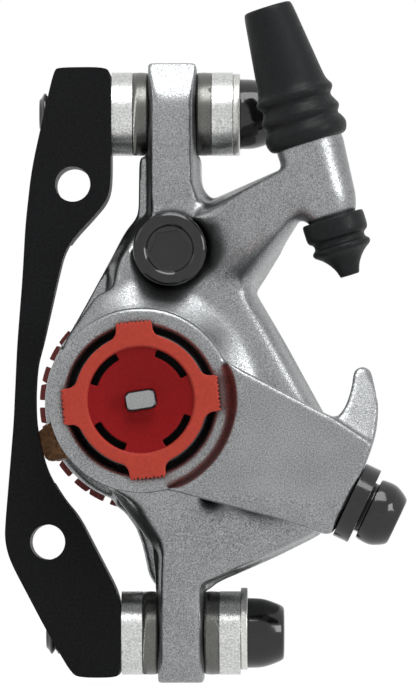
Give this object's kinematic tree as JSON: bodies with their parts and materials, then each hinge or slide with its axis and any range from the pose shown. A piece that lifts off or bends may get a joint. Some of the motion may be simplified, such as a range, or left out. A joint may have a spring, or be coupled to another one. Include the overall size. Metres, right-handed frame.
{
  "type": "bicycle mechanical disc brake caliper",
  "caption": "Cable-operated disc brake caliper on a post adapter, with a lever arm, ball-and-ramp cam, red pad adjusters, rotor slot, aligning washers and rubber cable boots.",
  "frame": {"origin": "midway between the two tapped frame-mount holes, on the adapter's mounting face", "axes": "+Z along the caliper's length, from the lower to the upper mount bolt, +X from the adapter to the body, -Y outboard, the way the mounting face looks"},
  "size_m": [0.057, 0.0517, 0.0963],
  "materials": {
    "black_adapter": "satin black anodised",
    "cast_silver": "bead-blasted silver",
    "lever_silver": "bead-blasted silver",
    "black_steel": "satin black",
    "gloss_black_steel": "gloss black",
    "cup_washer": "satin",
    "ball_washer": "turned, darker",
    "flat_washer": "satin",
    "rubber": "matte",
    "plain_steel": "ground",
    "bright_steel": "satin",
    "spring_steel": "satin",
    "bronze": "satin",
    "bearing_steel": "polished",
    "red_plastic": "satin",
    "dark_red_plastic": "satin",
    "dark_plastic": "matte",
    "copper_brown": "painted copper brown",
    "friction_lining": "pressed grain"
  },
  "bodies": {
    "caliper": {"adapter": "black_adapter", "outer_housing": "cast_silver", "inner_housing": "cast_silver", "body_bolts": "black_steel", "upper_mount_bolt": "gloss_black_steel", "lower_mount_bolt": "gloss_black_steel", "upper_cup_washers": "cup_washer", "upper_ball_washers": "ball_washer", "upper_flat_washer": "flat_washer", "lower_cup_washers": "cup_washer", "lower_ball_washers": "ball_washer", "lower_flat_washer": "flat_washer", "cable_boot_top": "rubber", "cable_boot_bottom": "rubber", "return_spring": "spring_steel", "dust_seal": "rubber", "cam_bush": "bronze", "fixed_race": "plain_steel", "pad_spring": "spring_steel", "inboard_indexer": "dark_plastic", "tension_screw": "black_steel"},
    "carrier": {"cam_seal": "rubber"},
    "lever": {"lever_arm": "lever_silver", "arm_nut": "plain_steel", "anchor_washer": "gloss_black_steel", "anchor_bolt": "gloss_black_steel", "drive_cam": "plain_steel", "outboard_indexer": "dark_plastic"},
    "ball_set": {"ball_cage": "bronze", "balls": "bearing_steel"},
    "outboard_adjuster": {"outboard_knob": "red_plastic"},
    "outboard_foot": {"foot_screw": "bright_steel"},
    "outboard_pad": {"pressure_foot": "plain_steel", "outboard_pad_plate": "copper_brown", "outboard_lining": "friction_lining"},
    "inboard_adjuster": {"inboard_knob": "dark_red_plastic"},
    "inboard_foot": {"inboard_foot_screw": "plain_steel"},
    "inboard_pad": {"inboard_pad_plate": "copper_brown", "inboard_lining": "friction_lining"}
  },
  "joints": [
    {"name": "cam_advance", "type": "slide", "parent": "caliper", "child": "carrier", "axis": [0, 1, 0], "range_m": [0, 0.00055]},
    {"name": "lever_swing", "type": "hinge", "parent": "carrier", "child": "lever", "pos_m": [0.01176, 0, -0.00544], "axis": [0, -1, 0], "range_deg": [0, 25], "stiffness_Nm_per_rad": 0.3, "springref_deg": -57.3},
    {"name": "ball_roll", "type": "hinge", "parent": "caliper", "child": "ball_set", "pos_m": [0.01176, 0, -0.00544], "axis": [0, -1, 0], "range_deg": [0, 12.5]},
    {"name": "outboard_knob_turn", "type": "hinge", "parent": "lever", "child": "outboard_adjuster", "pos_m": [0.01176, 0, -0.00544], "axis": [0, 1, 0], "range_deg": [0, 720]},
    {"name": "foot_advance", "type": "slide", "parent": "outboard_adjuster", "child": "outboard_foot", "axis": [0, 1, 0], "range_m": [0, 0.002]},
    {"name": "outboard_pad_advance", "type": "slide", "parent": "carrier", "child": "outboard_pad", "axis": [0, 1, 0], "range_m": [0, 0.002]},
    {"name": "inboard_knob_turn", "type": "hinge", "parent": "caliper", "child": "inboard_adjuster", "pos_m": [0.01176, 0, -0.00544], "axis": [0, -1, 0], "range_deg": [0, 720]},
    {"name": "inboard_foot_advance", "type": "slide", "parent": "inboard_adjuster", "child": "inboard_foot", "axis": [0, -1, 0], "range_m": [0, 0.002]},
    {"name": "inboard_pad_advance", "type": "slide", "parent": "caliper", "child": "inboard_pad", "axis": [0, -1, 0], "range_m": [0, 0.002]}
  ],
  "couplings": [
    {"joint": "cam_advance", "follows": "lever_swing", "m_per_rad": 0.0012605},
    {"joint": "ball_roll", "follows": "lever_swing", "ratio": 0.5},
    {"joint": "foot_advance", "follows": "outboard_pad_advance", "ratio": 1},
    {"joint": "outboard_knob_turn", "follows": "outboard_pad_advance", "rad_per_m": 6283.2},
    {"joint": "inboard_foot_advance", "follows": "inboard_pad_advance", "ratio": 1},
    {"joint": "inboard_knob_turn", "follows": "inboard_pad_advance", "rad_per_m": 6283.2}
  ]
}
